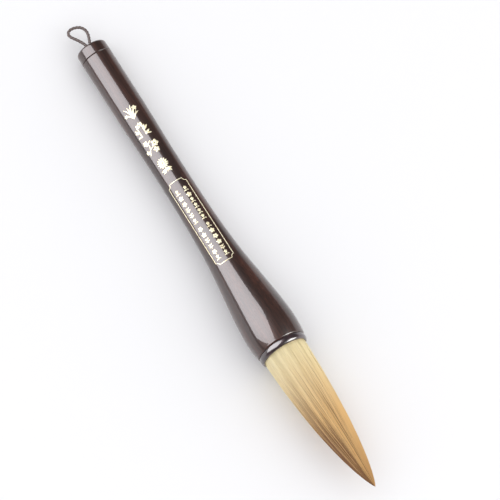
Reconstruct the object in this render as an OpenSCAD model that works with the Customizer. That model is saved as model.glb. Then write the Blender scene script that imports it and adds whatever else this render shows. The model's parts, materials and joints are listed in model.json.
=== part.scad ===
// Calligraphy brush with a turned wooden handle, a tuft of mixed hair and a hanging loop.
//
// Every piece is drawn along the brush's own axis, with x = 0 at the flat end of the cap and
// +X towards the point of the hair. lying() then lays the brush down, as it rests on a table:
// the bulb and the rim of the cap touch z = 0, and the origin is below the middle of the brush.

/* [Handle] */
// Length of the wood, from the cap's seam to the mouth ring's groove
handle_len = 156.5; // [125:0.1:200]
// Diameter of the straight barrel at the tail
tail_d = 14.2; // [11.8:0.1:18]
// Length of the straight barrel, from the cap's seam
barrel_len = 24.5; // [20:0.5:30]
// Diameter of the waist, the thinnest place of the shaft
waist_d = 13.3; // [11:0.1:14]
// Distance of the waist from the cap's seam
waist_at = 61.5; // [45:0.5:75]
// Diameter half way up the flare
flare_d = 17.9; // [15:0.1:22]
// Distance of that place from the groove
flare_at = 40; // [30:0.5:48]
// How far the bulb stands out past the lip at its end
bulb_rise = 0.65; // [0.2:0.05:3]
// Distance of the bulb's largest diameter from the groove
bulb_at = 9; // [7:0.5:14]
// Radius that rounds the lip into the groove
lip_round = 0.7; // [0.4:0.05:1]
// Wall of the wood around the ring's spigot, at the groove
lip_wall = 0.25; // [0.2:0.05:1]

/* [End cap] */
// Length of the cap that shows
cap_len = 5.5; // [4:0.1:12]
// How far the cap lies below the barrel's surface
cap_step = 0.05; // [0:0.01:0.5]
// Radius of the cap's rounded rim
cap_round = 1.2; // [0.5:0.1:2]
// Width of the chamfers that make the seam line
seam_chamfer = 0.3; // [0.1:0.05:0.6]
// Diameter of the tenon inside the handle
tenon_d = 8; // [6.6:0.1:9.6]
// Length of the tenon
tenon_len = 8; // [5:0.5:10]

/* [Mouth ring] */
// How far the bead stands up from the groove
bead_rise = 0.45; // [0.1:0.05:1.5]
// Length of the bead that shows
bead_len = 3; // [2:0.1:4]
// Width of the ring's face around the hair
bead_face = 0.3; // [0.1:0.05:0.6]
// Length of the spigot inside the handle
spigot_len = 2.5; // [2:0.1:5]
// Wall of the spigot at its thin end
spigot_wall = 0.85; // [0.6:0.05:1.2]

/* [Hair] */
// Length of the hair that shows
hair_len = 71.4; // [59:0.1:90]
// Diameter of the bore in the handle that holds the root
socket_d = 19.2; // [16:0.1:23.1]
// Depth of that bore, from the groove
socket_depth = 14; // [11.6:0.1:20]
// How far the hair swells on its way from the bore to the mouth
mouth_swell = 0.5; // [0:0.05:0.8]
// Diameter of the core hair
core_d = 9.2; // [7:0.1:10]
// Thickness of the cover coat around the lining, at the root
coat_thick = 1.3; // [0.8:0.1:1.6]
// Diameter of the binding thread
thread_d = 0.9; // [0.5:0.05:1.1]
// Thickness of the rosin that seals the root's end
seal_thick = 0.8; // [0.5:0.1:1.5]

/* [Bending of the hair] */
// Where the waist bends, as a share of the hair's length
sway_share = 0.378; // [0.35:0.001:0.42]
// Where the point bends, as a share of the hair's length
point_share = 0.672; // [0.63:0.001:0.7]
// Most that the belly bends each way, in degrees
belly_angle = 20; // [10:1:20]
// Most that the waist sways each way, in degrees
sway_angle = 25; // [10:1:30]
// Most that the point bends each way, in degrees
point_angle = 28; // [10:1:35]

/* [Hanging loop] */
// Diameter of the waxed cord
cord_d = 1.4; // [1.1:0.05:1.45]
// Diameter of the stopper knot
knot_d = 5.2; // [4.4:0.1:6.2]

/* [Fits] */
// Radial clearance of the glued tenon and spigot
glue_gap = 0.05; // [0.02:0.01:0.1]
// Radial clearance of the bound root in its bore
root_gap = 0.15; // [0.05:0.05:0.3]
// Clearance between parts of the hair that turn against each other
hair_gap = 0.3; // [0.25:0.05:0.4]
// Further clearance of the hair from the ring at the belly's bend
mouth_gap = 0.15; // [0.1:0.05:1]
// Clearance of the cord where it folds and turns in the cap
cord_gap = 0.05; // [0.05:0.01:0.1]
// Radial clearance of the doubled cord in its hole
hole_gap = 0.15; // [0.1:0.05:0.4]

/* [Hidden] */
$fn = 96;
HAIR_NODES = [
    "core_hair_root", "lining_hair_root", "cover_hair_root",
    "core_hair_belly", "lining_hair_belly", "cover_hair_belly",
    "core_hair_waist", "lining_hair_waist", "cover_hair_waist",
    "core_hair_point", "cover_hair_point"
];

wood_colour = [0.16, 0.06, 0.05];
ring_colour = [0.20, 0.09, 0.11];
cream_hair = [0.93, 0.84, 0.62];
golden_hair = [0.80, 0.60, 0.33];
brown_hair = [0.52, 0.33, 0.17];
thread_colour = [0.86, 0.82, 0.70];
rosin_colour = [0.45, 0.25, 0.08];
glue_colour = [0.85, 0.80, 0.62];
cord_colour = [0.42, 0.31, 0.27];

// Radii
tail_r = tail_d / 2;
waist_r = waist_d / 2;
flare_r = flare_d / 2;
cap_r = tail_r - cap_step;
tenon_r = tenon_d / 2;
socket_r = socket_d / 2;
spigot_r = socket_r + spigot_wall;
groove_r = spigot_r + glue_gap + lip_wall;
lip_r = groove_r + lip_round;
bulb_r = lip_r + bulb_rise;
bead_r = groove_r + bead_rise;
hair_r = socket_r + mouth_swell;
thread_r = thread_d / 2;
thread_bed = 0.9;
root_r = socket_r - root_gap - (1 + thread_bed) * thread_r;
lining_r = root_r - coat_thick;
core_r = core_d / 2;
cord_r = cord_d / 2;
hole_r = 2 * cord_r + cord_gap + hole_gap;

// Stations along the axis
seam_x = cap_len;
barrel_x = seam_x + barrel_len;
waist_x = seam_x + waist_at;
groove_x = seam_x + handle_len;
flare_x = groove_x - flare_at;
bulb_x = groove_x - bulb_at;
mouth_x = groove_x + bead_len;
tip_x = mouth_x + hair_len;
socket_x = groove_x - socket_depth;
spigot_x = groove_x - spigot_len;
root_x = socket_x + 2 * seal_thick;
belly_x = mouth_x + hair_r * sin(belly_angle) + hair_gap + mouth_gap;
sway_x = mouth_x + sway_share * hair_len;
point_x = mouth_x + point_share * hair_len;

// Turned profiles: a cubic curve from a to d, pulled towards b and c
curve_steps = 10;
function bezier(a, b, c, d, t) =
    pow(1 - t, 3) * a + 3 * pow(1 - t, 2) * t * b + 3 * (1 - t) * t * t * c + pow(t, 3) * d;
function curve(a, b, c, d) = [for (i = [1:curve_steps]) bezier(a, b, c, d, i / curve_steps)];
function arc(centre, r, from, to) =
    [for (i = [0:curve_steps]) let (g = from + (to - from) * i / curve_steps)
        centre + r * [cos(g), sin(g)]];

// How far each curve of the wood keeps its direction before it bends to the next
barrel_reach = 15;
waist_reach = 28;
flare_reach = 13;
bulb_reach = 7;
crown_reach = 3.5;
lip_reach = 1.9;
// How steeply the flare rises half way up, and the bulb falls at its lip
flare_slope = 0.125;
lip_slope = 0.184;

// Outside of the wood, from the seam to the groove above the mouth ring, as [x, r]
lip_x = groove_x - lip_round;
wood_outline = concat(
    [[seam_x, tail_r - seam_chamfer], [seam_x + seam_chamfer, tail_r], [barrel_x, tail_r]],
    curve([barrel_x, tail_r], [barrel_x + barrel_reach, tail_r],
          [waist_x - barrel_reach, waist_r], [waist_x, waist_r]),
    curve([waist_x, waist_r], [waist_x + waist_reach, waist_r],
          [flare_x - flare_reach, flare_r - flare_slope * flare_reach], [flare_x, flare_r]),
    curve([flare_x, flare_r], [flare_x + flare_reach, flare_r + flare_slope * flare_reach],
          [bulb_x - bulb_reach, bulb_r], [bulb_x, bulb_r]),
    curve([bulb_x, bulb_r], [bulb_x + crown_reach, bulb_r],
          [lip_x - lip_reach, lip_r + lip_slope * lip_reach], [lip_x, lip_r]),
    arc([lip_x, groove_r], lip_round, 90, 0)
);

// Outside of the hair, from the mouth to the tip, as [x, r], and its radius at any x
function on_hair(share, r_share) = [mouth_x + share * hair_len, r_share * hair_r];
hair_outline = concat(
    [on_hair(0, 1)],
    curve(on_hair(0, 1), on_hair(0.714, 0.91), on_hair(0.995, 0.1), on_hair(1, 0))
);
function hair_r_at(x) = lookup(x, hair_outline);

// Outside of the root, inside the socket and the ring: it widens just before the spigot
widen_x = spigot_x - 1;
root_outline = [
    [root_x, 0], [root_x, root_r], [widen_x, root_r], [spigot_x, socket_r], [mouth_x, hair_r]
];

// Where each layer ends, as shares of the hair's length
lining_full_share = 0.25;
lining_end_share = 0.59;
cover_end_share = 0.87;
cover_end_x = mouth_x + cover_end_share * hair_len;
lining_end_x = mouth_x + lining_end_share * hair_len;

// Outside of the core hair, which alone makes the point past the cover hair's ends
core_outline = concat(
    [[root_x, 0], [root_x, core_r], [sway_x, core_r], [cover_end_x, hair_r_at(cover_end_x)]],
    [for (p = hair_outline) if (p[0] > cover_end_x) p]
);
// Outside of the lining hair, which is packed around the core and thins out inside it
lining_tuck = 0.2;
lining_outline = [
    [root_x, 0], [root_x, lining_r], [mouth_x + lining_full_share * hair_len, lining_r],
    [lining_end_x, core_r - lining_tuck], [lining_end_x, 0]
];

// How the brush lies: the tilt that brings the bulb and the cap's rim to one level
tilt = asin((bulb_r - cap_r) / (bulb_x - cap_round));
lift = -min([for (p = concat(wood_outline, [[cap_round, cap_r]])) p[0] * sin(tilt) - p[1] * cos(tilt)]);
cap_low_x = cap_round * (cos(tilt) - 1) - (cap_r - cap_round) * sin(tilt);
mid_x = (cap_low_x + tip_x * cos(tilt)) / 2;

module lying() {
    translate([-mid_x, 0, lift]) rotate([0, -tilt, 0]) children();
}

// A half profile from an outline of [x, r] points, with r to the right and x upwards, and the
// solid that it makes when it is turned about the brush's axis
module profile(outline) { polygon([for (p = outline) [p[1], p[0]]]); }
module turn() { rotate([0, 90, 0]) rotate_extrude() children(); }
module turned(outline) { turn() profile(outline); }

// A plain round bar along the axis
module bar(from, to, r) {
    translate([from, 0, 0]) rotate([0, 90, 0]) cylinder(h = to - from, r = r);
}

// ---- Wood, cap and ring ----

// One turned piece: barrel, waist, flare and bulb, bored at both ends
module handle() {
    bore_over = 1;
    knot_room = knot_d + 5;
    lying() color(wood_colour) difference() {
        turned(concat([[seam_x, 0]], wood_outline, [[groove_x, 0]]));
        bar(seam_x - bore_over, seam_x + tenon_len + knot_room, tenon_r + glue_gap);
        bar(socket_x, groove_x + bore_over, socket_r);
        bar(spigot_x, groove_x + bore_over, spigot_r + glue_gap);
    }
}

// Cap that closes the tail, with its tenon and the hole for the cord
module end_cap() {
    outline = concat(
        [[0, 0]],
        arc([cap_round, cap_r - cap_round], cap_round, 180, 90),
        [[seam_x - seam_chamfer, cap_r], [seam_x, cap_r - seam_chamfer], [seam_x, tenon_r],
         [seam_x + tenon_len, tenon_r], [seam_x + tenon_len, 0]]
    );
    lying() color(wood_colour) difference() {
        turned(outline);
        bar(-1, seam_x + tenon_len + 1, hole_r);
    }
}

// Bead around the mouth, on a spigot that is glued into the wood
module mouth_ring() {
    half_len = bead_len / 2;
    face_r = hair_r + bead_face;
    function bead(from, side_r) =
        [for (i = [0:curve_steps]) let (g = from + 90 * i / curve_steps)
            [groove_x + half_len * (1 - cos(g)), side_r + (bead_r - side_r) * sin(g)]];
    lying() color(ring_colour) turned(concat(
        [[spigot_x, socket_r], [spigot_x, spigot_r], [groove_x, spigot_r]],
        bead(0, groove_r),
        bead(90, face_r),
        [[mouth_x, hair_r]]
    ));
}

// ---- Root of the hair ----

// Turns of thread that bind the root, each bedded against the next and in the hair
module root_binding() {
    pitch = 0.9 * thread_d;
    first_x = root_x + thread_d;
    turns = floor((widen_x - thread_d - first_x) / pitch);
    lying() color(thread_colour) difference() {
        for (i = [0:turns - 1])
            translate([first_x + i * pitch, 0, 0]) rotate([0, 90, 0])
                rotate_extrude() translate([root_r + thread_bed * thread_r, 0]) circle(r = thread_r);
        bar(root_x, widen_x, root_r);
    }
}

// Melted rosin that seals the cut ends of the hair
module root_seal() {
    lying() color(rosin_colour) bar(root_x - seal_thick, root_x, root_r);
}

// Glue at the bottom of the socket and around the end of the root
module socket_glue() {
    lying() color(glue_colour) difference() {
        bar(socket_x, root_x + seal_thick / 2, socket_r);
        bar(root_x - seal_thick, root_x + seal_thick, root_r);
    }
}

// ---- Hair ----
// The tuft is three layers: a core, a lining packed around it and a cover coat. It bends at
// three places, so each layer is cut there into root, belly, waist and point. Past each cut
// the hair ends in a ball that turns in a cup of the hair before it.

// Half profile of the whole tuft, to the outside of its cover coat
module whole_tuft() {
    profile(concat(root_outline, [for (p = hair_outline) if (p[0] > mouth_x) p]));
}

// Where the hair before a bend ends, clear of the ball as it turns
function rim_x(x, angle) = x - hair_r_at(x) * sin(angle) - hair_gap;

// Half profiles that cut to length, and that make the back of a ball and the cup around it
past_r = 2 * hair_r;
module slab(from, to) { translate([0, from]) square([past_r, to - from]); }
module ball(x) {
    intersection() {
        translate([0, x]) circle(r = hair_r_at(x));
        slab(x - past_r, x);
    }
}
module cup(x) {
    intersection() {
        translate([0, x]) circle(r = hair_r_at(x) + hair_gap);
        slab(x - past_r, x + past_r);
    }
}

// The stretch of the tuft between two places, and the one from a bend to the next bend
module cut_tuft(from, to) {
    intersection() {
        whole_tuft();
        slab(from, to);
    }
}
module stretch(x, next_x, next_angle) {
    difference() {
        union() {
            cut_tuft(x, rim_x(next_x, next_angle));
            ball(x);
        }
        cup(next_x);
    }
}
module root_stretch() {
    difference() {
        cut_tuft(root_x, mouth_x);
        cup(belly_x);
    }
}
module belly_stretch() { stretch(belly_x, sway_x, sway_angle); }
module waist_stretch() { stretch(sway_x, point_x, point_angle); }
module point_stretch() {
    cut_tuft(point_x, tip_x + 1);
    ball(point_x);
}

// One layer of a stretch, turned into a solid
module core_layer() {
    lying() color(brown_hair) turn() intersection() {
        children();
        profile(core_outline);
    }
}
module lining_layer() {
    lying() color(cream_hair) turn() difference() {
        intersection() {
            children();
            profile(lining_outline);
        }
        profile(core_outline);
    }
}
module cover_layer() {
    lying() color(golden_hair) turn() difference() {
        children();
        profile(core_outline);
        profile(lining_outline);
    }
}

module core_hair_root() { core_layer() root_stretch(); }
module lining_hair_root() { lining_layer() root_stretch(); }
module cover_hair_root() { cover_layer() root_stretch(); }
module core_hair_belly() { core_layer() belly_stretch(); }
module lining_hair_belly() { lining_layer() belly_stretch(); }
module cover_hair_belly() { cover_layer() belly_stretch(); }
module core_hair_waist() { core_layer() waist_stretch(); }
module lining_hair_waist() { lining_layer() waist_stretch(); }
module cover_hair_waist() { cover_layer() waist_stretch(); }
module core_hair_point() { core_layer() point_stretch(); }
module cover_hair_point() { cover_layer() point_stretch(); }

// ---- Hanging loop ----

// Half the distance between the two strands in the cord hole, and where the loop folds
strand_y = cord_r + cord_gap;
fold_x = -(cord_r + cord_gap);

// Middle of the cord outside the cap, from one strand to the other
loop_points = [
    [-0.75, 0.75, 0], [-2.4, 1.0, 0], [-4.2, 1.7, 0], [-6.0, 2.3, 0.1], [-7.8, 2.5, 0.1],
    [-9.5, 2.1, 0], [-10.9, 1.1, 0], [-11.8, -0.4, -0.1], [-12.2, -2.0, -0.1], [-12.1, -3.6, -0.1],
    [-11.2, -4.8, 0], [-9.8, -5.0, 0.1], [-8.3, -4.3, 0.1], [-6.6, -3.2, 0.1], [-4.8, -2.1, 0],
    [-3.0, -1.3, 0], [-1.8, -0.9, 0], [-0.75, -0.75, 0]
];
cord_sides = 8;

// Direction of the route at point i
function along(pts, i) =
    let (a = pts[max(i - 1, 0)], b = pts[min(i + 1, len(pts) - 1)]) (b - a) / norm(b - a);
// Ring of points around c, square to direction d, in a frame that keeps to Z
function ring(c, d, r) =
    let (up = [0, 0, 1], side = cross(d, up) / norm(cross(d, up)), over = cross(side, d))
    [for (k = [0:cord_sides - 1]) let (g = 360 * k / cord_sides)
        c + r * (cos(g) * side + sin(g) * over)];

// Tube along a route, with round ends
module cord_tube(pts, r) {
    last = len(pts) - 1;
    cap_angles = [20, 50];
    start_rings = [for (g = cap_angles)
        ring(pts[0] - r * cos(g) * along(pts, 0), along(pts, 0), r * sin(g))];
    body_rings = [for (i = [0:last]) ring(pts[i], along(pts, i), r)];
    end_rings = [for (i = [len(cap_angles) - 1:-1:0]) let (g = cap_angles[i])
        ring(pts[last] + r * cos(g) * along(pts, last), along(pts, last), r * sin(g))];
    rings = concat(start_rings, body_rings, end_rings);
    count = len(rings);
    sides = [for (i = [0:count - 2], k = [0:cord_sides - 1])
        let (n = (k + 1) % cord_sides, a = i * cord_sides, b = (i + 1) * cord_sides)
        [a + k, a + n, b + n, b + k]];
    polyhedron(
        points = [for (q = rings, p = q) p],
        faces = concat(sides, [[for (k = [cord_sides - 1:-1:0]) k]],
                       [[for (k = [0:cord_sides - 1]) (count - 1) * cord_sides + k]]),
        convexity = 4
    );
}

// Doubled cord through the cap, with the knot that stops it in the handle
module loop_knot() {
    knot_x = seam_x + tenon_len + knot_d / 2 + cord_gap;
    lying() color(cord_colour) union() {
        for (y = [-strand_y, strand_y]) translate([0, y, 0]) bar(0, knot_x, cord_r);
        translate([knot_x, 0, 0]) sphere(r = knot_d / 2);
    }
}

// Loop outside the cap
module hanging_loop() {
    lying() color(cord_colour) cord_tube(loop_points, cord_r);
}

handle();
end_cap();
mouth_ring();
root_binding();
root_seal();
socket_glue();
core_hair_root();
lining_hair_root();
cover_hair_root();
core_hair_belly();
lining_hair_belly();
cover_hair_belly();
core_hair_waist();
lining_hair_waist();
cover_hair_waist();
core_hair_point();
cover_hair_point();
loop_knot();
hanging_loop();
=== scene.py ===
"""The looks of a calligraphy brush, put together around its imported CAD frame.

The brush is told in the order in which it is made: the turned handle, its end cap, the gilding,
the ring at the mouth, the tied root, the tuft of hair, and the cord to hang it up by. Every mesh
is worked out along the brush's own axis, in metres from the cap's flat end, and then laid down.
"""

import json
import math
import random

import bpy
import bmesh
import numpy as np
from mathutils import Matrix, Vector


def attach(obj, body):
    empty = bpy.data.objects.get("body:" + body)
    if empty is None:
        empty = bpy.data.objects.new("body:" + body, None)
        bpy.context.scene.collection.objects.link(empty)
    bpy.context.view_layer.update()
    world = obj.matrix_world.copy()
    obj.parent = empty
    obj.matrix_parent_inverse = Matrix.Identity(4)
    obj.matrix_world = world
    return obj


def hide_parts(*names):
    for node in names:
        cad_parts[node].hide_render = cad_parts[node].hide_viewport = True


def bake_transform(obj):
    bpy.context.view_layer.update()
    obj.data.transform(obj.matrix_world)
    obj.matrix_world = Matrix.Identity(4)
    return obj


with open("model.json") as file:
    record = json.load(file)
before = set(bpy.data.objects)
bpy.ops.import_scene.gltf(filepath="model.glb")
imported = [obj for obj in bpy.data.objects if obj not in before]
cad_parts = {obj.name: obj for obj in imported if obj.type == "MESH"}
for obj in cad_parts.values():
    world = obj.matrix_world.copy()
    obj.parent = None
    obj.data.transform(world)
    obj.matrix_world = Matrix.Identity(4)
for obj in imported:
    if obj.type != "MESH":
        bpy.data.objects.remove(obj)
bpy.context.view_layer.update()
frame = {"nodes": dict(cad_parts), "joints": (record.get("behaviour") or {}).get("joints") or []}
scene = bpy.context.scene
scene.view_settings.view_transform = "Standard"


# ---- Camera ----
# A long lens looks down on the brush from beyond its hair, so that the mouth's front shows
# and the cap's flat end is hidden.

view_azimuth = math.radians(59.1)
view_elevation = math.radians(70.9)
view_distance = 2.4
lens = 401.5

back = Vector((
    math.sin(view_azimuth) * math.cos(view_elevation),
    -math.cos(view_azimuth) * math.cos(view_elevation),
    math.sin(view_elevation),
))
right = Vector((0, 0, 1)).cross(back).normalized()
above = back.cross(right)
aim = Vector((0, 0, 0.010)) + 0.0090 * right + 0.0067 * above

camera = bpy.data.objects.new("camera", bpy.data.cameras.new("camera"))
camera.data.lens = lens
camera.matrix_world = Matrix.Translation(aim + view_distance * back) @ Matrix(
    (right, above, back)
).transposed().to_4x4()
scene.collection.objects.link(camera)
scene.camera = camera


# ---- Table and light ----
# A white table top in a pale, evenly lit room. A large panel on the left draws the broad band
# along the lacquer. Beyond the hair, a weak softbox lights the table and the hair, and a panel
# makes the glint under the bulb.

table_size = 6.0


def put(kind, tree, inputs=(), **settings):
    """A new node with its settings, and its inputs set to values or linked to outputs."""
    made = tree.nodes.new(kind)
    for key, value in settings.items():
        setattr(made, key, value)
    for key, value in dict(inputs).items():
        if isinstance(value, bpy.types.NodeSocket):
            tree.links.new(value, made.inputs[key])
        else:
            made.inputs[key].default_value = value
    return made


def coating(name, colour, roughness, **inputs):
    """A material with one Principled shader. Returns the material, its tree and the shader."""
    material = bpy.data.materials.new(name)
    material.use_nodes = True
    tree = material.node_tree
    shader = tree.nodes["Principled BSDF"]
    shader.inputs["Base Color"].default_value = (*colour, 1)
    shader.inputs["Roughness"].default_value = roughness
    for key, value in inputs.items():
        shader.inputs[key.replace("_", " ")].default_value = value
    return material, tree, shader


table_mesh = bpy.data.meshes.new("table")
half = table_size / 2
table_mesh.from_pydata(
    [(-half, -half, 0), (half, -half, 0), (half, half, 0), (-half, half, 0)], [], [(0, 1, 2, 3)]
)
table = bpy.data.objects.new("table", table_mesh)
scene.collection.objects.link(table)
table_paint, *_ = coating("table_paint", (0.90, 0.90, 0.91), 0.6, Specular_IOR_Level=0.2)
table_mesh.materials.append(table_paint)

# The room is pale to look at, gives an even fill, and shows dark in the lacquer.
scene.world = bpy.data.worlds.new("studio")
scene.world.use_nodes = True
studio = scene.world.node_tree
studio.nodes.clear()
rays = put("ShaderNodeLightPath", studio)
room = put("ShaderNodeMix", studio, {"Factor": rays.outputs["Is Glossy Ray"], "A": 1.02, "B": 0.08})
wall = put("ShaderNodeMix", studio, {"Factor": rays.outputs["Is Camera Ray"], "A": room.outputs[0],
                                     "B": 0.97})
sky = put("ShaderNodeBackground", studio, {"Color": (0.985, 0.985, 1.0, 1), "Strength": wall.outputs[0]})
put("ShaderNodeOutputWorld", studio, {"Surface": sky.outputs[0]})


def softbox(name, middle, width, height, power, colour):
    """A rectangular softbox whose middle is at a point and which faces the brush."""
    light = bpy.data.lights.new(name, "AREA")
    light.shape = "RECTANGLE"
    light.size = width
    light.size_y = height
    light.energy = power
    light.color = colour
    box = bpy.data.objects.new(name, light)
    box.location = middle
    box.rotation_euler = Vector(middle).to_track_quat("Z", "Y").to_euler()
    box.visible_camera = False
    scene.collection.objects.link(box)
    return box


reflector = softbox("reflector_left", (-0.28, -0.37, 0.47), 0.75, 0.87, 15.5, (1.0, 0.97, 1.0))
reflector.visible_diffuse = False
softbox("softbox_front", (0.75, 0.62, 0.95), 0.90, 0.90, 2.6, (1.0, 0.99, 0.97))
glint = softbox("reflector_front", (0.66, 0.92, 0.78), 0.90, 0.90, 34.0, (1.0, 0.99, 0.98))
glint.visible_diffuse = False


# ---- The brush's own axis ----
# Everything on the brush is turned about one line, from the cap's flat end to the tip of the
# hair. The frame gives the line in the joint on which the hanging cord spins.

spin = next(joint for joint in frame["joints"] if joint["name"] == "loop_turn")
cap_end = Vector(spin["pos_m"])
along = Vector(spin["axis"]).normalized()
across = Vector((0, 1, 0))
up = along.cross(across)
lay = Matrix.Translation(cap_end) @ Matrix((along, across, up)).transposed().to_4x4()
tilt = math.atan2(along.z, along.x)


# Two stations nearer to each other than this are one edge.
edge_slack = 1e-5


def rings_of(node):
    """The [station, radius] of each vertex of a CAD node, measured from the brush's axis."""
    places = np.array([lay.inverted() @ v.co for v in frame["nodes"][node].data.vertices])
    return np.column_stack([places[:, 0], np.hypot(places[:, 1], places[:, 2])])


def outside_of(node, start, end):
    """The outline of a CAD node between two stations: the largest radius at each, in order.

    A point well under the line between its neighbours belongs to an inner surface.
    """
    least_share = 0.97
    widest = {}
    for station, radius in rings_of(node):
        key = round(station, 6)
        if start - 1e-6 <= key <= end + 1e-6:
            widest[key] = max(radius, widest.get(key, 0))
    outline = sorted(widest.items())
    kept = [outline[0]]
    for here, after in zip(outline[1:], outline[2:]):
        share = (here[0] - kept[-1][0]) / (after[0] - kept[-1][0])
        if here[1] > least_share * (kept[-1][1] + share * (after[1] - kept[-1][1])):
            kept.append(here)
    return kept + [outline[-1]]


def eased(outline, step):
    """The same outline with its long stretches filled in by a curve that never overshoots."""
    x, r = np.array(outline).T
    rise = np.diff(r) / np.diff(x)
    slope = np.zeros(len(x))
    for i in range(1, len(x) - 1):
        if rise[i - 1] * rise[i] > 0:
            a, b = x[i] - x[i - 1], x[i + 1] - x[i]
            w = (a + 2 * b, b + 2 * a)
            slope[i] = (w[0] + w[1]) / (w[1] / rise[i - 1] + w[0] / rise[i])
    full = []
    for i in range(len(x) - 1):
        width = x[i + 1] - x[i]
        count = max(1, math.ceil(width / step))
        for k in range(count):
            t = k / count
            full.append((
                x[i] + t * width,
                (1 + 2 * t) * (1 - t) ** 2 * r[i] + t * (1 - t) ** 2 * width * slope[i]
                + t * t * (3 - 2 * t) * r[i + 1] + t * t * (t - 1) * width * slope[i + 1],
            ))
    return full + [(x[-1], r[-1])]


def first(node):
    return rings_of(node)[:, 0].min()


def last(node):
    return rings_of(node)[:, 0].max()


seam = first("handle")
groove = last("handle")
mouth = last("mouth_ring")
tip = last("core_hair_point")


# ---- Handle ----
# One length of dark reddish-brown hardwood, turned to a straight barrel, a thin waist and a
# bulb, bored at both ends, then sealed, lacquered and polished to a high gloss.

turning_step = 0.0005
turning_sides = 128
glue_gap = 0.00005


def new_tree(name, *sockets):
    """An empty Geometry Nodes tree with its named inputs. Returns the tree and its input node."""
    tree = bpy.data.node_groups.new(name, "GeometryNodeTree")
    tree.interface.new_socket("Geometry", in_out="OUTPUT", socket_type="NodeSocketGeometry")
    tree.interface.new_socket("Geometry", in_out="INPUT", socket_type="NodeSocketGeometry")
    for socket, kind in (*sockets, ("Material", "Material")):
        tree.interface.new_socket(socket, in_out="INPUT", socket_type="NodeSocket" + kind)
    return tree, tree.nodes.new("NodeGroupInput")


def sums(tree, operation, *terms):
    """A Math node of two or three terms. Returns its output."""
    return put("ShaderNodeMath", tree, dict(enumerate(terms)), operation=operation).outputs[0]


def close_tree(tree, geometry, material):
    """Ends a tree with Realize Instances and Set Material."""
    real = put("GeometryNodeRealizeInstances", tree, {"Geometry": geometry})
    dressed = put("GeometryNodeSetMaterial", tree, {"Geometry": real.outputs[0], "Material": material})
    put("NodeGroupOutput", tree, {"Geometry": dressed.outputs[0]})


def make(name, tree, start, **values):
    """A plain mesh, laid along the brush, from a tree that is run once on a starting mesh."""
    piece = bpy.data.objects.new(name, start)
    scene.collection.objects.link(piece)
    modifier = piece.modifiers.new("make", "NODES")
    modifier.node_group = tree
    for socket in tree.interface.items_tree:
        if socket.in_out == "INPUT" and socket.name in values:
            modifier[socket.identifier] = values[socket.name]
    graph = bpy.context.evaluated_depsgraph_get()
    mesh = bpy.data.meshes.new_from_object(piece.evaluated_get(graph), depsgraph=graph)
    piece.modifiers.clear()
    mesh.name = name
    mesh.transform(lay)
    piece.data = mesh
    return piece


def face_outwards(piece):
    """Turns the faces of a closed piece outwards."""
    work = bmesh.new()
    work.from_mesh(piece.data)
    bmesh.ops.remove_doubles(work, verts=work.verts, dist=1e-7)
    bmesh.ops.recalc_face_normals(work, faces=work.faces)
    work.to_mesh(piece.data)
    work.free()


# The lathe: a grid whose rows are the points of the outline and whose columns go around.
lathe, given = new_tree("lathe", ("Sides", "Int"))
count = put("GeometryNodeAttributeDomainSize", lathe, {0: given.outputs["Geometry"]}, component="MESH")
columns = sums(lathe, "ADD", given.outputs["Sides"], 1.0)
grid = put("GeometryNodeMeshGrid", lathe, {
    "Size X": 1.0, "Size Y": 1.0, "Vertices X": count.outputs["Point Count"], "Vertices Y": columns})
index = put("GeometryNodeInputIndex", lathe)
row = sums(lathe, "FLOOR", sums(lathe, "DIVIDE", index.outputs[0], columns))
column = sums(lathe, "SUBTRACT", index.outputs[0], sums(lathe, "MULTIPLY", row, columns))
place = put("GeometryNodeSampleIndex", lathe, {
    "Geometry": given.outputs["Geometry"],
    "Value": put("GeometryNodeInputPosition", lathe).outputs[0],
    "Index": row,
}, data_type="FLOAT_VECTOR", domain="POINT")
outline_point = put("ShaderNodeSeparateXYZ", lathe, {0: place.outputs[0]})
angle = sums(lathe, "MULTIPLY", column, sums(lathe, "DIVIDE", math.tau, given.outputs["Sides"]))
turned_place = put("ShaderNodeCombineXYZ", lathe, {
    "X": outline_point.outputs["X"],
    "Y": sums(lathe, "MULTIPLY", outline_point.outputs["Y"], sums(lathe, "SINE", angle)),
    "Z": sums(lathe, "MULTIPLY", outline_point.outputs["Y"], sums(lathe, "COSINE", angle)),
})
wrapped = put("GeometryNodeSetPosition", lathe, {
    "Geometry": grid.outputs["Mesh"], "Position": turned_place.outputs[0]})
joined = put("GeometryNodeMergeByDistance", lathe, {"Geometry": wrapped.outputs[0], "Distance": 2e-7})
close_tree(lathe, joined.outputs[0], given.outputs["Material"])


def turn(name, outline, material):
    """A closed piece turned from a loop of [station, radius] points."""
    start = bpy.data.meshes.new(name + "_outline")
    start.from_pydata([(x, r, 0) for x, r in outline], [(i, i + 1) for i in range(len(outline) - 1)], [])
    piece = make(name, lathe, start, Sides=turning_sides, Material=material)
    face_outwards(piece)
    piece.data.shade_smooth()
    piece.data.set_sharp_from_angle(angle=math.radians(32))
    return piece


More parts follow.
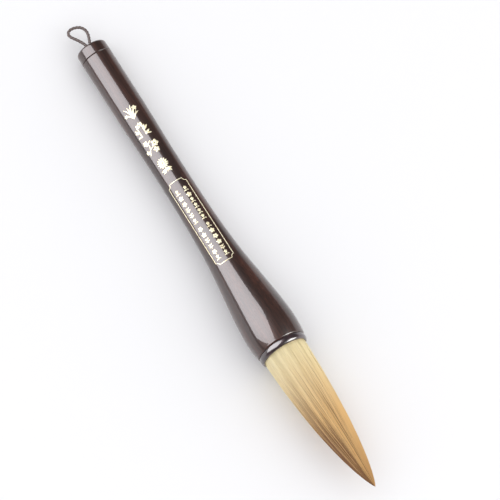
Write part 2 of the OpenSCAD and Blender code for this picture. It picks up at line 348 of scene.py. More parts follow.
def grained(name, dark, middle, red, gloss):
    """Lacquered hardwood: fine streaks along the brush, open pores, and a polished clear coat."""
    material, tree, shader = coating(name, middle, 0.38, Coat_Weight=1.0, Coat_Roughness=gloss,
                                    Coat_IOR=1.47, Specular_IOR_Level=0.35)
    here = put("ShaderNodeTexCoord", tree).outputs["Object"]

    def streaks(length, width, detail):
        """Noise drawn out along the brush, with streaks of about that length and width."""
        turned = put("ShaderNodeMapping", tree, {
            "Vector": here, "Rotation": (0, tilt, 0), "Scale": (1 / length, 1 / width, 1 / width)})
        return put("ShaderNodeTexNoise", tree, {
            "Vector": turned.outputs[0], "Scale": 1.0, "Detail": detail, "Roughness": 0.6}).outputs["Fac"]

    bands = streaks(0.060, 0.0042, 4.0)
    fibres = streaks(0.016, 0.00055, 3.0)
    tone = sums(tree, "MULTIPLY_ADD", fibres, 0.45, sums(tree, "MULTIPLY", bands, 0.62))
    colours = put("ShaderNodeValToRGB", tree, {"Fac": tone})
    ramp = colours.color_ramp
    ramp.elements[0].position, ramp.elements[0].color = 0.34, (*dark, 1)
    ramp.elements[1].position, ramp.elements[1].color = 0.74, (*red, 1)
    ramp.elements.new(0.54).color = (*middle, 1)
    pores = put("ShaderNodeMapRange", tree, {
        "Value": streaks(0.0042, 0.00024, 1.0), "From Min": 0.62, "From Max": 0.70,
        "To Min": 1.0, "To Max": 0.35})
    shaded = put("ShaderNodeMix", tree, {"Factor": pores.outputs[0]}, data_type="RGBA")
    shaded.inputs["A"].default_value = (*dark, 1)
    tree.links.new(colours.outputs[0], shaded.inputs["B"])
    tree.links.new(shaded.outputs["Result"], shader.inputs["Base Color"])
    grain_bump = put("ShaderNodeBump", tree, {
        "Height": pores.outputs[0], "Strength": 0.25, "Distance": 0.00003})
    tree.links.new(grain_bump.outputs[0], shader.inputs["Normal"])
    skin = put("ShaderNodeTexNoise", tree, {"Vector": here, "Scale": 260.0, "Detail": 2.0})
    skin_bump = put("ShaderNodeBump", tree, {
        "Height": skin.outputs["Fac"], "Strength": 0.10, "Distance": 0.0001})
    tree.links.new(skin_bump.outputs[0], shader.inputs["Coat Normal"])
    return material


hardwood = grained("lacquered_hardwood", (0.012, 0.0045, 0.003), (0.044, 0.014, 0.008),
                   (0.095, 0.028, 0.015), 0.045)
socket_r = rings_of("socket_glue")[:, 1].max()
spigot = first("mouth_ring")
spigot_r = max(r for x, r in rings_of("mouth_ring") if x < groove - edge_slack) + glue_gap
tenon_end = last("end_cap")
tenon_r = max(r for x, r in rings_of("end_cap") if x > seam + edge_slack) + glue_gap
knot_room = last("loop_knot") + 0.003
wood_outline = eased(outside_of("handle", seam, groove), turning_step)
handle = turn("handle_wood", [
    (knot_room, 0), (knot_room, tenon_r), (seam, tenon_r), *wood_outline, (groove, spigot_r),
    (spigot, spigot_r), (spigot, socket_r), (first("socket_glue"), socket_r), (first("socket_glue"), 0),
], hardwood)
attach(handle, "grip")
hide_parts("handle")


# ---- End cap ----
# A short plug of the same wood with a rounded rim, turned with a tenon that is glued into the
# barrel. A hole down its middle passes the doubled cord.

cord_hole_r = rings_of("end_cap")[:, 1].min()
tenon_wood_r = tenon_r - glue_gap
cap = turn("end_cap_wood", [
    (tenon_end, cord_hole_r), (tenon_end, tenon_wood_r), (seam, tenon_wood_r),
    *reversed(outside_of("end_cap", 0, seam)), (0, cord_hole_r), (tenon_end, cord_hole_r),
], hardwood)
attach(cap, "grip")
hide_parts("end_cap")


# ---- Gilding ----
# Four plant ornaments and a notched frame around two columns of small sprigs and blossoms,
# stamped in pale gold leaf on the lacquer between the barrel and the flare.

def mottled(name, colour, roughness, scale, detail, dark, pale, bump, depth, coat=False, **inputs):
    """A material clouded between two [position, colour] pairs, with an uneven surface or coat."""
    material, tree, shader = coating(name, colour, roughness, **inputs)
    here = put("ShaderNodeTexCoord", tree).outputs["Object"]
    cloud = put("ShaderNodeTexNoise", tree, {"Vector": here, "Scale": scale, "Detail": detail})
    colours = put("ShaderNodeValToRGB", tree, {"Fac": cloud.outputs["Fac"]})
    for element, (position, tint) in zip(colours.color_ramp.elements, (dark, pale)):
        element.position = position
        element.color = (*tint, 1)
    tree.links.new(colours.outputs[0], shader.inputs["Base Color"])
    uneven = put("ShaderNodeBump", tree, {
        "Height": cloud.outputs["Fac"], "Strength": bump, "Distance": depth})
    tree.links.new(uneven.outputs[0], shader.inputs["Coat Normal" if coat else "Normal"])
    return material


gold_leaf = mottled(
    "gold_leaf", (0.93, 0.86, 0.58), roughness=0.42, scale=2600.0, detail=3.0,
    dark=(0.30, (0.70, 0.56, 0.27)), pale=(0.52, (0.97, 0.91, 0.66)),
    bump=0.3, depth=0.00002, Metallic=0.35, Specular_IOR_Level=0.5)

# A mark is a line of [station, arc, half width], where the arc is measured around the wood.
marks = []
half_of_width = 0.58
mark_steps = 8


def mark(at, heading, length, width, curl=0.0, leaf=True):
    """One curved mark in millimetres: a leaf is widest in its middle, a stem at its start."""
    ahead = Vector((math.cos(math.radians(heading)), math.sin(math.radians(heading))))
    elbow = Vector(at) + length * (0.5 * ahead + curl * Vector((-ahead.y, ahead.x)))
    end = Vector(at) + length * ahead
    line = []
    for k in range(mark_steps + 1):
        t = k / mark_steps
        point = (1 - t) ** 2 * Vector(at) + 2 * t * (1 - t) * elbow + t * t * end
        swell = math.sin(math.pi * (0.04 + 0.92 * t)) ** 0.8 if leaf else 1 - 0.45 * t
        line.append((point.x, point.y, half_of_width * width * swell))
    marks.append(line)


def blossom(at, size, petals, turn_by=0.0, inner=0.12):
    """Petals around an open middle."""
    for k in range(petals):
        heading = turn_by + 360 * k / petals
        away = size * inner * Vector((math.cos(math.radians(heading)), math.sin(math.radians(heading))))
        mark(Vector(at) + away, heading, size * (1 - inner), 3.6 * size / petals)


def orchid(x, y):
    for heading, length, curl in ((150, 6.2, 0.20), (168, 6.8, 0.10), (184, 6.4, -0.08),
                                  (200, 6.6, -0.18), (222, 4.6, -0.25), (128, 4.4, 0.26)):
        mark((x + 3.2, y), heading, length, 0.62, curl)
    mark((x + 2.6, y + 0.6), 148, 4.8, 0.30, -0.12, leaf=False)
    blossom((x - 1.7, y + 2.6), 1.15, 5, 20)
    blossom((x + 0.2, y - 2.7), 0.9, 5, 50)


def bamboo(x, y):
    for side, start in ((-1.4, 3.3), (1.1, 2.9)):
        for k in range(3):
            mark((x + start - 2.15 * k, y + side), 180, 1.95, 0.75, leaf=False)
    for u, v, heading, length in ((2.3, 1.2, 118, 2.2), (-0.9, 1.2, 172, 2.4),
                                  (1.0, -1.5, 215, 2.6), (1.0, -1.5, 245, 2.1), (-1.2, -1.5, 140, 2.6),
                                  (-1.2, -1.5, 112, 2.2), (0.6, 1.2, 130, 2.8), (0.6, 1.2, 158, 2.6),
                                  (-1.6, 1.2, 205, 2.3), (2.4, 1.2, 75, 2.3), (2.6, -1.5, 280, 1.9)):
        mark((x + u, y + v), heading, length, 0.82, 0.06)


def plum(x, y):
    mark((x + 3.3, y - 2.6), 152, 3.4, 0.62, 0.1, leaf=False)
    mark((x + 0.4, y - 1.1), 178, 2.6, 0.46, -0.1, leaf=False)
    mark((x + 1.0, y - 1.5), 105, 3.2, 0.40, 0.12, leaf=False)
    mark((x - 1.6, y - 1.0), 128, 2.2, 0.32, 0.12, leaf=False)
    blossom((x - 1.0, y + 1.9), 1.75, 5, 10)
    blossom((x + 2.0, y + 1.2), 1.40, 5, 40)
    blossom((x - 2.5, y - 1.9), 1.40, 5, 70)
    blossom((x + 1.5, y - 3.1), 1.00, 5, 25)


def chrysanthemum(x, y):
    blossom((x - 1.0, y), 2.5, 13, 0, 0.45)
    blossom((x - 1.0, y), 1.3, 8, 20, 0.2)
    mark((x + 1.4, y), 6, 2.2, 0.45, 0.1, leaf=False)
    for heading in (48, 78, -48, -80):
        mark((x + 2.0, y), heading, 2.7, 0.95, 0.12)


def sprig(x, y):
    mark((x + 1.2, y), 180, 2.4, 0.26, 0.06, leaf=False)
    for u, heading in ((0.7, 122), (0.7, 238), (-0.3, 128), (-0.3, 232)):
        mark((x + u, y), heading, 1.25, 0.44, 0.06)


def bud(x, y):
    mark((x + 1.2, y - 0.2), 172, 1.5, 0.26, leaf=False)
    mark((x + 0.6, y), 70, 1.2, 0.42, 0.1)
    mark((x + 0.6, y), 290, 1.2, 0.42, -0.1)
    blossom((x - 0.6, y), 0.8, 5, 36)


for station, ornament in ((38.0, orchid), (47.0, bamboo), (56.0, plum), (66.0, chrysanthemum)):
    ornament(station, 0)
large_marks = len(marks)
pick = random.Random(12)
small_pitch = 3.05
for group in (80.3, 99.9):
    for k in range(6):
        for side in (-2.1, 2.1):
            shape = pick.choice((sprig, bud, lambda x, y: blossom((x, y), 1.2, 5, 36 * (k % 2))))
            shape(group + small_pitch * k, side)

# The frame: straight sides and corners notched by a quarter of a circle
frame_from, frame_to, frame_half, notch = 75.0, 118.5, 4.7, 1.5
frame_spacing = 0.6
frame_line_half = 0.17
corners = []
for x, y, start in ((frame_to, -frame_half, 180), (frame_to, frame_half, 270),
                    (frame_from, frame_half, 0), (frame_from, -frame_half, 90)):
    for k in range(7):
        g = math.radians(start - 15 * k)
        corners.append(Vector((x + notch * math.cos(g), y + notch * math.sin(g))))
frame_line = []
for here, after in zip(corners, corners[1:] + corners[:1]):
    count = max(1, round((after - here).length / frame_spacing))
    frame_line += [(*here.lerp(after, k / count), frame_line_half) for k in range(count)]

# Which way each group faces, in degrees around the wood from its top
large_bearing = -14
frame_bearing = -11
wood_x, wood_r = np.array(wood_outline).T
foil_mesh = bpy.data.meshes.new("foil_lines")
foil_points, foil_edges, half_widths, surfaces, middles = [], [], [], [], []
for number, line in enumerate([*marks, frame_line]):
    base = len(foil_points)
    for k, (x, y, half_width) in enumerate(line):
        foil_points.append((x / 1000, y / 1000, 0))
        half_widths.append(half_width / 1000)
        surfaces.append(np.interp(x / 1000, wood_x, wood_r))
        middles.append(math.radians(large_bearing if number < large_marks else frame_bearing))
        if k:
            foil_edges.append((base + k - 1, base + k))
foil_edges.append((len(foil_points) - 1, base))
foil_mesh.from_pydata(foil_points, foil_edges, [])
for name, values in (("half_width", half_widths), ("surface", surfaces), ("middle", middles)):
    foil_mesh.attributes.new(name, "FLOAT", "POINT").data.foreach_set("value", values)

foil, given = new_tree("foil", ("Lift", "Float"), ("Flatten", "Float"))


def attribute_of(tree, name):
    return put("GeometryNodeInputNamedAttribute", tree, {"Name": name}, data_type="FLOAT").outputs[0]


lines = put("GeometryNodeMeshToCurve", foil, {"Mesh": given.outputs["Geometry"]})
rim = put("GeometryNodeCurvePrimitiveCircle", foil, {"Resolution": 6, "Radius": 1.0}, mode="RADIUS")
flat_tube = put("GeometryNodeCurveToMesh", foil, {
    "Curve": lines.outputs[0], "Profile Curve": rim.outputs[0],
    "Scale": attribute_of(foil, "half_width"), "Fill Caps": True})
spot = put("ShaderNodeSeparateXYZ", foil, {0: put("GeometryNodeInputPosition", foil).outputs[0]})
height = sums(foil, "MULTIPLY_ADD", spot.outputs["Z"], given.outputs["Flatten"], given.outputs["Lift"])
reach = sums(foil, "ADD", height, attribute_of(foil, "surface"))
bearing = sums(foil, "ADD", attribute_of(foil, "middle"),
               sums(foil, "DIVIDE", spot.outputs["Y"], attribute_of(foil, "surface")))
laid = put("ShaderNodeCombineXYZ", foil, {
    "X": spot.outputs["X"],
    "Y": sums(foil, "MULTIPLY", reach, sums(foil, "SINE", bearing)),
    "Z": sums(foil, "MULTIPLY", reach, sums(foil, "COSINE", bearing))})
pressed = put("GeometryNodeSetPosition", foil, {
    "Geometry": flat_tube.outputs[0], "Position": laid.outputs[0]})
close_tree(foil, pressed.outputs[0], given.outputs["Material"])

gilding = make("gold_leaf_ornament", foil, foil_mesh, Lift=0.00001, Flatten=0.12, Material=gold_leaf)
face_outwards(gilding)
gilding.data.shade_smooth()
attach(gilding, "grip")


# ---- Mouth ring ----
# A polished purple-brown bead on a spigot, glued into the mouth of the bulb. It hides the edge
# of the bore and holds the hair together where it comes out.

horn = mottled(
    "ring_horn", (0.040, 0.017, 0.024), roughness=0.30, scale=420.0, detail=3.0,
    dark=(0.35, (0.020, 0.008, 0.011)), pale=(0.7, (0.060, 0.026, 0.034)),
    bump=0.1, depth=0.00005, coat=True, Coat_Weight=1.0, Coat_Roughness=0.05,
    Specular_IOR_Level=0.6)
ring_mouth_r = round(min(r for x, r in rings_of("mouth_ring") if x > mouth - edge_slack), 6)
ring = turn("mouth_ring_bead", [
    (spigot, socket_r), (spigot, spigot_r - glue_gap), (groove, spigot_r - glue_gap),
    *eased(outside_of("mouth_ring", groove, mouth), 0.0002), (mouth, ring_mouth_r), (spigot, socket_r),
], horn)
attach(ring, "grip")
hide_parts("mouth_ring")


# ---- Root of the tuft ----
# The hair is tied with hemp thread, its cut end is dipped in melted rosin, and the root is set
# in the bore with glue. All of it is hidden in the bulb.

def dress(node, stuff):
    """Gives a CAD piece that is kept as it is its finish."""
    slots = frame["nodes"][node].data.materials
    slots.clear()
    slots.append(stuff)


dress("root_seal", mottled(
    "melted_rosin", (0.36, 0.17, 0.05), roughness=0.15, scale=500.0, detail=4.0,
    dark=(0.35, (0.16, 0.06, 0.015)), pale=(0.65, (0.36, 0.17, 0.05)), bump=0.3, depth=0.0002))
dress("socket_glue", mottled(
    "set_glue", (0.66, 0.58, 0.38), roughness=0.4, scale=700.0, detail=4.0,
    dark=(0.35, (0.48, 0.38, 0.20)), pale=(0.65, (0.66, 0.58, 0.38)), bump=0.5, depth=0.0002))

# The thread is wound on as one helix. Its width and number of turns come from the CAD rings.
winding, given = new_tree("winding", ("Radius", "Float"), ("Width", "Float"), ("Turns", "Float"),
                          ("Thread", "Float"))
helix = put("GeometryNodeCurveSpiral", winding, {
    "Resolution": 48, "Rotations": given.outputs["Turns"], "Start Radius": given.outputs["Radius"],
    "End Radius": given.outputs["Radius"], "Height": given.outputs["Width"]})
plies = put("GeometryNodeCurvePrimitiveCircle", winding, {"Resolution": 8,
                                                         "Radius": given.outputs["Thread"]}, mode="RADIUS")
thread = put("GeometryNodeCurveToMesh", winding, {
    "Curve": helix.outputs[0], "Profile Curve": plies.outputs[0], "Fill Caps": True})
along_brush = put("GeometryNodeTransform", winding, {
    "Geometry": thread.outputs[0], "Rotation": (0, math.pi / 2, 0)})
close_tree(winding, along_brush.outputs[0], given.outputs["Material"])

hemp = mottled(
    "hemp_thread", (0.72, 0.66, 0.50), roughness=0.85, scale=1800.0, detail=4.0,
    dark=(0.35, (0.52, 0.45, 0.30)), pale=(0.65, (0.72, 0.66, 0.50)), bump=0.8, depth=0.0002)
tie = rings_of("root_binding")
thread_r = (tie[:, 1].max() - rings_of("root_seal")[:, 1].max()) / 1.9
tie_start = tie[:, 0].min() + thread_r
tie_width = tie[:, 0].max() - thread_r - tie_start
nothing = bpy.data.meshes.new("nothing")
binding = make("root_thread", winding, nothing, Radius=float(tie[:, 1].max() - thread_r),
               Width=float(tie_width), Turns=float(tie_width / (1.8 * thread_r)),
               Thread=float(thread_r), Material=hemp)
binding.data.transform(Matrix.Translation(tie_start * along))
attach(binding, "grip")
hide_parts("root_binding")


# ---- Hair ----
# Thousands of straight, fine hairs, cream at the root and golden brown towards the point, sized
# so that they gather into locks. The tuft is made in three pieces, named for its belly, its waist and its
# point.

def hair_colours(name, root, middle, end, streak):
    """Hair whose colour runs along it, darker in some hairs and some locks than in others, with painted shade
    on one side that grows towards the tip.
    """
    material, tree, shader = coating(name, middle, 0.55, Specular_IOR_Level=0.3, Sheen_Weight=0.15)
    run = put("ShaderNodeAttribute", tree, attribute_name="run").outputs["Fac"]
    shade = put("ShaderNodeAttribute", tree, attribute_name="shade").outputs["Fac"]
    lock = put("ShaderNodeAttribute", tree, attribute_name="lock").outputs["Fac"]
    colours = put("ShaderNodeValToRGB", tree, {"Fac": run})
    ramp = colours.color_ramp
    ramp.elements[0].position, ramp.elements[0].color = 0.06, (*root, 1)
    ramp.elements[1].position, ramp.elements[1].color = 0.95, (*end, 1)
    ramp.elements.new(0.5).color = (*middle, 1)
    depth = put("ShaderNodeMapRange", tree, {
        "Value": run, "From Min": 0.10, "From Max": 0.60, "To Min": 0.10, "To Max": 0.95})
    # Painted shade: hairs on the tuft's -Y side, its left as seen, are darkened more and more towards the
    # tip.
    side = put("ShaderNodeAttribute", tree, attribute_name="side").outputs["Fac"]
    painted_side_shade = sums(tree, "MULTIPLY", sums(tree, "MULTIPLY", side, run), -0.20)
    mixture = sums(tree, "MULTIPLY_ADD", shade, 0.70, sums(tree, "MULTIPLY_ADD", lock, 0.30, painted_side_shade))
    dark = put("ShaderNodeMapRange", tree, {"Value": mixture, "From Min": 0.48, "From Max": 0.63})
    amount = sums(tree, "MULTIPLY", depth.outputs[0], dark.outputs[0])
    mixed = put("ShaderNodeMix", tree, {"Factor": amount}, data_type="RGBA")
    tree.links.new(colours.outputs[0], mixed.inputs["A"])
    mixed.inputs["B"].default_value = (*streak, 1)
    tree.links.new(mixed.outputs["Result"], shader.inputs["Base Color"])
    return material


def packed_hair(name, pale, dark):
    """Hair packed side by side, for the layers under the coat: streaks along the brush."""
    material, tree, shader = coating(name, pale, 0.6)
    turned = put("ShaderNodeMapping", tree, {
        "Vector": put("ShaderNodeTexCoord", tree).outputs["Object"],
        "Rotation": (0, tilt, 0), "Scale": (40.0, 5000.0, 5000.0)})
    fine = put("ShaderNodeTexNoise", tree, {"Vector": turned.outputs[0], "Scale": 1.0, "Detail": 3.0})
    colours = put("ShaderNodeValToRGB", tree, {"Fac": fine.outputs["Fac"]})
    colours.color_ramp.elements[0].position, colours.color_ramp.elements[0].color = 0.35, (*dark, 1)
    colours.color_ramp.elements[1].position, colours.color_ramp.elements[1].color = 0.65, (*pale, 1)
    tree.links.new(colours.outputs[0], shader.inputs["Base Color"])
    grooves = put("ShaderNodeBump", tree, {
        "Height": fine.outputs["Fac"], "Strength": 0.6, "Distance": 0.0001})
    tree.links.new(grooves.outputs[0], shader.inputs["Normal"])
    return material


core_stuff = packed_hair("core_hair", (0.50, 0.30, 0.13), (0.16, 0.08, 0.03))
lining_stuff = packed_hair("lining_hair", (0.72, 0.58, 0.34), (0.42, 0.30, 0.14))
dress("core_hair_root", core_stuff)
dress("lining_hair_root", lining_stuff)

# Outside of the whole tuft, from the tied root to the tip, at even steps. A bend's ball is left
# out, because it lies inside the hair.
hair_root = first("cover_hair_root")
outline_step = 0.0005
joints = {joint["name"]: joint for joint in frame["joints"]}
belly_bend, sway_bend, point_bend = (
    (Vector(joints[name]["pos_m"]) - cap_end).dot(along)
    for name in ("tuft_press", "tuft_sway", "point_press"))
coarse = [point for point in outside_of("cover_hair_root", hair_root, mouth) if point[1] > 0.005]
for node, bend in (("cover_hair_belly", belly_bend), ("cover_hair_waist", sway_bend),
                   ("cover_hair_point", point_bend)):
    coarse += [point for point in outside_of(node, bend, last(node)) if point[1] > 0.001]
coarse += [(x, r) for x, r in outside_of("core_hair_point", last("cover_hair_point") + 0.0006, tip)]
smooth = np.array(eased(coarse, outline_step))
stations = np.arange(hair_root, tip + outline_step, outline_step)
radii = np.interp(stations, smooth[:, 0], smooth[:, 1])
tuft_outline = bpy.data.meshes.new("tuft_outline")
tuft_outline.from_pydata([(x, r, 0) for x, r in zip(stations, radii)], [], [])


# The set to one side: how far at a length beyond the mouth, and how fast it grows
bow_aside = 0.00145
bow_over = 0.067
bow_power = 1.65


def bow(piece):
    """The tuft has taken a slight set to one side, more and more towards its tip."""
    places = np.empty(3 * len(piece.data.vertices))
    piece.data.vertices.foreach_get("co", places)
    places = places.reshape(-1, 3)
    beyond = np.clip((places - np.array(cap_end)) @ np.array(along) - mouth, 0, None)
    places[:, 1] += bow_aside * (beyond / bow_over) ** bow_power
    piece.data.vertices.foreach_set("co", places.ravel())
    piece.data.update()


# The strands: each has its own bearing, depth and end, and meanders with its neighbours.
strands, given = new_tree(
    "strands", ("Hairs", "Int"), ("Points", "Int"), ("From", "Float"), ("To", "Float"),
    ("Thickness", "Float"), ("Depth", "Float"), ("Seed", "Int"), ("Outline Start", "Float"),
    ("Outline Step", "Float"), ("Mouth", "Float"), ("Tip", "Float"))
straight = put("GeometryNodeResampleCurve", strands, {
    "Curve": put("GeometryNodeCurvePrimitiveLine", strands).outputs[0],
    "Count": given.outputs["Points"]})
spots = put("GeometryNodePoints", strands, {"Count": given.outputs["Hairs"]})
sown = put("GeometryNodeInstanceOnPoints", strands, {
    "Points": spots.outputs[0], "Instance": straight.outputs[0]})
grown = put("GeometryNodeRealizeInstances", strands, {"Geometry": sown.outputs[0]})
index = put("GeometryNodeInputIndex", strands).outputs[0]
hair = sums(strands, "FLOOR", sums(strands, "DIVIDE", index, given.outputs["Points"]))
step = sums(strands, "SUBTRACT", index, sums(strands, "MULTIPLY", hair, given.outputs["Points"]))
share = sums(strands, "DIVIDE", step, sums(strands, "SUBTRACT", given.outputs["Points"], 1.0))


def chance(number):
    """A random share for each hair."""
    return put("FunctionNodeRandomValue", strands, {
        2: 0.0, 3: 1.0, "ID": hair, "Seed": sums(strands, "ADD", given.outputs["Seed"], float(number)),
    }).outputs[1]


# The shortest hair ends this share of the tuft before the tip, and most end near the tip.
longest_shortfall = 0.40
shortfall_power = 1.6
tuft_length = sums(strands, "SUBTRACT", given.outputs["Tip"], given.outputs["Mouth"])
shortfall = sums(strands, "MULTIPLY", sums(strands, "MULTIPLY", longest_shortfall, tuft_length),
                 sums(strands, "POWER", chance(0), shortfall_power))
hair_end = sums(strands, "SUBTRACT", given.outputs["Tip"], shortfall)
stop = sums(strands, "MINIMUM", hair_end, given.outputs["To"])
x_here = sums(strands, "MULTIPLY_ADD", share, sums(strands, "SUBTRACT", stop, given.outputs["From"]),
              given.outputs["From"])
run = sums(strands, "DIVIDE", sums(strands, "SUBTRACT", x_here, given.outputs["Mouth"]), tuft_length)

on_outline = sums(strands, "DIVIDE", sums(strands, "SUBTRACT", x_here, given.outputs["Outline Start"]),
                  given.outputs["Outline Step"])
below = sums(strands, "FLOOR", on_outline)


def outline_radius(number):
    sample = put("GeometryNodeSampleIndex", strands, {
        "Geometry": given.outputs["Geometry"], "Index": number,
        "Value": put("GeometryNodeInputPosition", strands).outputs[0]},
        data_type="FLOAT_VECTOR", domain="POINT")
    sample.clamp = True
    return put("ShaderNodeSeparateXYZ", strands, {0: sample.outputs[0]}).outputs["Y"]


low = outline_radius(below)
high = outline_radius(sums(strands, "ADD", below, 1.0))
reach = sums(strands, "MULTIPLY_ADD", sums(strands, "SUBTRACT", high, low),
             sums(strands, "SUBTRACT", on_outline, below), low)

golden_angle = 2.399963
bearing = sums(strands, "MULTIPLY", hair, golden_angle)


def lock_noise(length, around, shift):
    """Noise that neighbouring hairs share: locks of about that length, so many around the tuft."""
    spot = put("ShaderNodeCombineXYZ", strands, {
        "X": sums(strands, "DIVIDE", x_here, length),
        "Y": sums(strands, "MULTIPLY_ADD", sums(strands, "SINE", bearing), around, shift),
        "Z": sums(strands, "MULTIPLY", sums(strands, "COSINE", bearing), around)})
    return put("ShaderNodeTexNoise", strands, {
        "Vector": spot.outputs[0], "Scale": 1.0, "Detail": 2.0}).outputs["Fac"]


# How far a lock swerves and a single hair strays, in radians, and how deep the furrows are
lock_swerve = 0.16
hair_stray = 0.02
furrow_depth = 0.0007
finest_share = 0.22
lock = lock_noise(0.060, 4.6, 0.0)
sideways = sums(strands, "MULTIPLY", sums(strands, "SUBTRACT", lock_noise(0.030, 2.6, 9.0), 0.5), lock_swerve)
strayed = sums(strands, "MULTIPLY", sums(strands, "SUBTRACT", chance(1), 0.5), hair_stray)
swerved = sums(strands, "ADD", bearing, sums(strands, "ADD", sideways, strayed))
deep = sums(strands, "ADD", sums(strands, "MULTIPLY", chance(2), given.outputs["Depth"]),
            sums(strands, "MULTIPLY", sums(strands, "SUBTRACT", 0.62, lock), furrow_depth))
inset = sums(strands, "ADD", given.outputs["Thickness"], sums(strands, "MAXIMUM", deep, 0.0))
narrowing = sums(strands, "DIVIDE", reach, float(radii.max()))
radius = sums(strands, "SUBTRACT", reach, sums(strands, "MULTIPLY", inset, narrowing))
grown_place = put("ShaderNodeCombineXYZ", strands, {
    "X": x_here,
    "Y": sums(strands, "MULTIPLY", radius, sums(strands, "SINE", swerved)),
    "Z": sums(strands, "MULTIPLY", radius, sums(strands, "COSINE", swerved))})
combed = put("GeometryNodeSetPosition", strands, {
    "Geometry": grown.outputs[0], "Position": grown_place.outputs[0]})
slim = sums(strands, "MULTIPLY", given.outputs["Thickness"],
            sums(strands, "MAXIMUM", sums(strands, "POWER", narrowing, 0.6), finest_share))
tinge = sums(strands, "MULTIPLY_ADD", chance(3), 0.22,
             sums(strands, "MULTIPLY", lock_noise(0.035, 24.0, 5.0), 0.78))
told = combed
# The side attribute is the side of the tuft that each hair lies on. The hair material paints shade by it.
for name, value in (("run", run), ("shade", tinge), ("lock", lock), ("girth", slim),
                    ("side", sums(strands, "SINE", swerved))):
    told = put("GeometryNodeStoreNamedAttribute", strands, {
        "Geometry": told.outputs[0], "Name": name, "Value": value}, data_type="FLOAT", domain="POINT")
missing = put("FunctionNodeCompare", strands, {
    0: hair_end, 1: sums(strands, "ADD", given.outputs["From"], 0.001)},
    data_type="FLOAT", operation="LESS_THAN")
kept = put("GeometryNodeDeleteGeometry", strands, {
    "Geometry": told.outputs[0], "Selection": missing.outputs[0]}, domain="POINT")
triangle = put("GeometryNodeCurvePrimitiveCircle", strands, {"Resolution": 3, "Radius": 1.0}, mode="RADIUS")
hairs = put("GeometryNodeCurveToMesh", strands, {
    "Curve": kept.outputs[0], "Profile Curve": triangle.outputs[0],
    "Scale": attribute_of(strands, "girth"), "Fill Caps": True})
close_tree(strands, hairs.outputs[0], given.outputs["Material"])

strand_count = 2600
strand_points = 12
strand_r = 0.00011
coat_depth = 0.0011

# How far each bend spreads along the tuft
belly_reach = 0.014
sway_reach = 0.009
bend_reach = 0.010

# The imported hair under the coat: its share of the outline, its gap, and where it starts and ends
inner_share = 0.90
inner_gap = 0.0004
inner_tuck = 0.003
inner_short = 0.004
coat_stuff = hair_colours("coat_hair", (1.00, 0.87, 0.54), (0.90, 0.60, 0.25), (0.66, 0.37, 0.11),
                          (0.20, 0.07, 0.014))


def at(station, y=0.0, z=0.0):
    """A point on the brush, in the frame."""
    return lay @ Vector((station, y, z))


for name, start, end, bodies, bend_from, bend_to, coat_nodes, inner_nodes, inner_slot, inner_stuff in (
    ("belly", hair_root, sway_bend - bend_reach, ("grip", "belly"), mouth, mouth + belly_reach,
     ("cover_hair_root", "cover_hair_belly"), ("lining_hair_belly", "core_hair_belly"),
     "lining_hair", lining_stuff),
    ("waist", sway_bend - bend_reach, point_bend - bend_reach, ("belly", "waist"),
     sway_bend - bend_reach, sway_bend + sway_reach, ("cover_hair_waist",),
     ("lining_hair_waist", "core_hair_waist"), "lining_hair", lining_stuff),
    ("point", point_bend - bend_reach, tip, ("waist", "point"),
     point_bend - bend_reach, point_bend + bend_reach, ("cover_hair_point",),
     ("core_hair_point",), "core_hair", core_stuff),
):
    coat = make("coat_hair_" + name, strands, tuft_outline, Hairs=strand_count, Points=strand_points,
                From=float(start), To=float(end), Thickness=strand_r, Depth=coat_depth, Seed=4,
                Material=coat_stuff,
                **{"Outline Start": float(hair_root), "Outline Step": outline_step,
                   "Mouth": float(mouth), "Tip": float(tip)})
    coat.data.shade_smooth()
    bow(coat)
    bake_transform(coat)
    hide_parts(*coat_nodes)
    inner_start = max(start, mouth - inner_tuck)
    inside = [(x, r) for x, r in zip(stations, radii) if inner_start < x < min(end, tip - inner_short)]
    inner_outline = [(x, inner_share * r - inner_gap) for x, r in inside[::4]]
    inner = turn("inner_hair_" + name, [(inner_outline[0][0], 0), *inner_outline,
                                        (inner_outline[-1][0], 0)], inner_stuff)
    bow(inner)
    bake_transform(inner)
    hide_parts(*inner_nodes)


# ---- Hanging cord ----
# A waxed brown cord of three twisted plies. It goes in through the cap, is knotted inside the
# barrel so that it can't pull out, and comes back out as the loop that the brush hangs by.

waxed = mottled(
    "waxed_cord", (0.08, 0.04, 0.028), roughness=0.5, scale=3200.0, detail=3.0,
    dark=(0.35, (0.045, 0.02, 0.014)), pale=(0.68, (0.12, 0.062, 0.045)),
    bump=0.5, depth=0.0001, Coat_Weight=0.25, Coat_Roughness=0.35)

twist, given = new_tree("twisted_cord", ("Radius", "Float"), ("Step", "Float"), ("Twist", "Float"))
route = put("GeometryNodeMeshToCurve", twist, {"Mesh": given.outputs["Geometry"]})
even = put("GeometryNodeResampleCurve", twist, {
    "Curve": route.outputs[0], "Length": given.outputs["Step"]}, mode="LENGTH")
travelled = put("GeometryNodeSplineParameter", twist).outputs["Length"]
tilted = put("GeometryNodeSetCurveTilt", twist, {
    "Curve": even.outputs[0], "Tilt": sums(twist, "MULTIPLY", travelled, given.outputs["Twist"])})
round_profile = put("GeometryNodeCurvePrimitiveCircle", twist, {"Resolution": 18, "Radius": 1.0},
                    mode="RADIUS")
profile_spot = put("GeometryNodeInputPosition", twist).outputs[0]
profile_xyz = put("ShaderNodeSeparateXYZ", twist, {0: profile_spot})
round_angle = sums(twist, "ARCTAN2", profile_xyz.outputs["Y"], profile_xyz.outputs["X"])
lobes = sums(twist, "MULTIPLY_ADD", sums(twist, "COSINE", sums(twist, "MULTIPLY", round_angle, 3.0)),
             0.12, 0.88)
lobed_spot = put("ShaderNodeVectorMath", twist, {0: profile_spot, "Scale": lobes}, operation="SCALE")
plies = put("GeometryNodeSetPosition", twist, {
    "Geometry": round_profile.outputs[0], "Position": lobed_spot.outputs[0]})
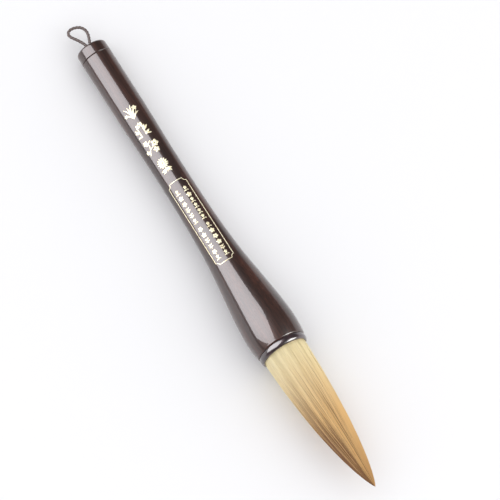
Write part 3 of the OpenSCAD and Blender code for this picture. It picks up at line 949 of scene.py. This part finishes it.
corded = put("GeometryNodeCurveToMesh", twist, {
    "Curve": tilted.outputs[0], "Profile Curve": plies.outputs[0],
    "Scale": given.outputs["Radius"], "Fill Caps": True})
close_tree(twist, corded.outputs[0], given.outputs["Material"])

cord_r = 0.0007
cord_step = 0.00022
cord_lay = 0.0042
strand_y = 0.00075
loop_knots = [
    (9, 0.75, 0), (6, 0.75, 0), (3, 0.75, 0), (0.4, 0.75, 0), (-1.0, 0.8, 0), (-2.4, 1.0, 0),
    (-4.2, 1.7, 0), (-6.0, 2.3, 0.1), (-7.8, 2.5, 0.1), (-9.5, 2.1, 0), (-10.9, 1.1, 0),
    (-11.8, -0.4, -0.1), (-12.2, -2.0, -0.1), (-12.1, -3.6, -0.1), (-11.2, -4.8, 0), (-9.8, -5.0, 0.1),
    (-8.3, -4.3, 0.1), (-6.6, -3.2, 0.1), (-4.8, -2.1, 0), (-3.0, -1.3, 0), (-1.4, -0.85, 0),
    (0.4, -0.75, 0), (3, -0.75, 0), (6, -0.75, 0), (9, -0.75, 0),
]


def curved(knots, per_span):
    """A smooth route through knots in millimetres, in metres: hence half of a thousandth."""
    points = [Vector(knots[0]), *map(Vector, knots), Vector(knots[-1])]
    route = []
    for a, b, c, d in zip(points, points[1:], points[2:], points[3:]):
        for k in range(per_span):
            t = k / per_span
            route.append(0.0005 * (2 * b + (c - a) * t + (2 * a - 5 * b + 4 * c - d) * t * t
                                   + (3 * b - a - 3 * c + d) * t ** 3))
    return route + [points[-1] / 1000]


def cord_piece(name, routes):
    """A length of the twisted cord along each route, as one piece."""
    start = bpy.data.meshes.new(name + "_route")
    points, edges = [], []
    for route in routes:
        edges += [(len(points) + k, len(points) + k + 1) for k in range(len(route) - 1)]
        points += route
    start.from_pydata(points, edges, [])
    piece = make(name, twist, start, Radius=cord_r, Step=cord_step, Twist=math.tau / cord_lay,
                 Material=waxed)
    face_outwards(piece)
    piece.data.shade_smooth()
    return piece


loop_route = curved(loop_knots, 4)
loop = cord_piece("hanging_cord", [loop_route])
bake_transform(loop)
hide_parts("hanging_loop")

knot_half = 0.0026
knot_size = 0.00058
knot_rise = 0.0011
knot_middle = last("loop_knot") - knot_half
trefoil = [Vector((
    knot_middle + knot_size * (math.sin(t) + 2 * math.sin(2 * t)),
    knot_size * (math.cos(t) - 2 * math.cos(2 * t)),
    -knot_rise * math.sin(3 * t),
)) for t in np.linspace(0, math.tau, 73)]
ends = [[Vector((x, y, 0)) for x in np.linspace(0.009, knot_middle - 0.0004, 16)]
        for y in (strand_y, -strand_y)]
knot = cord_piece("stopper_knot", [*ends, trefoil])
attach(knot, "cord_neck")
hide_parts("loop_knot")
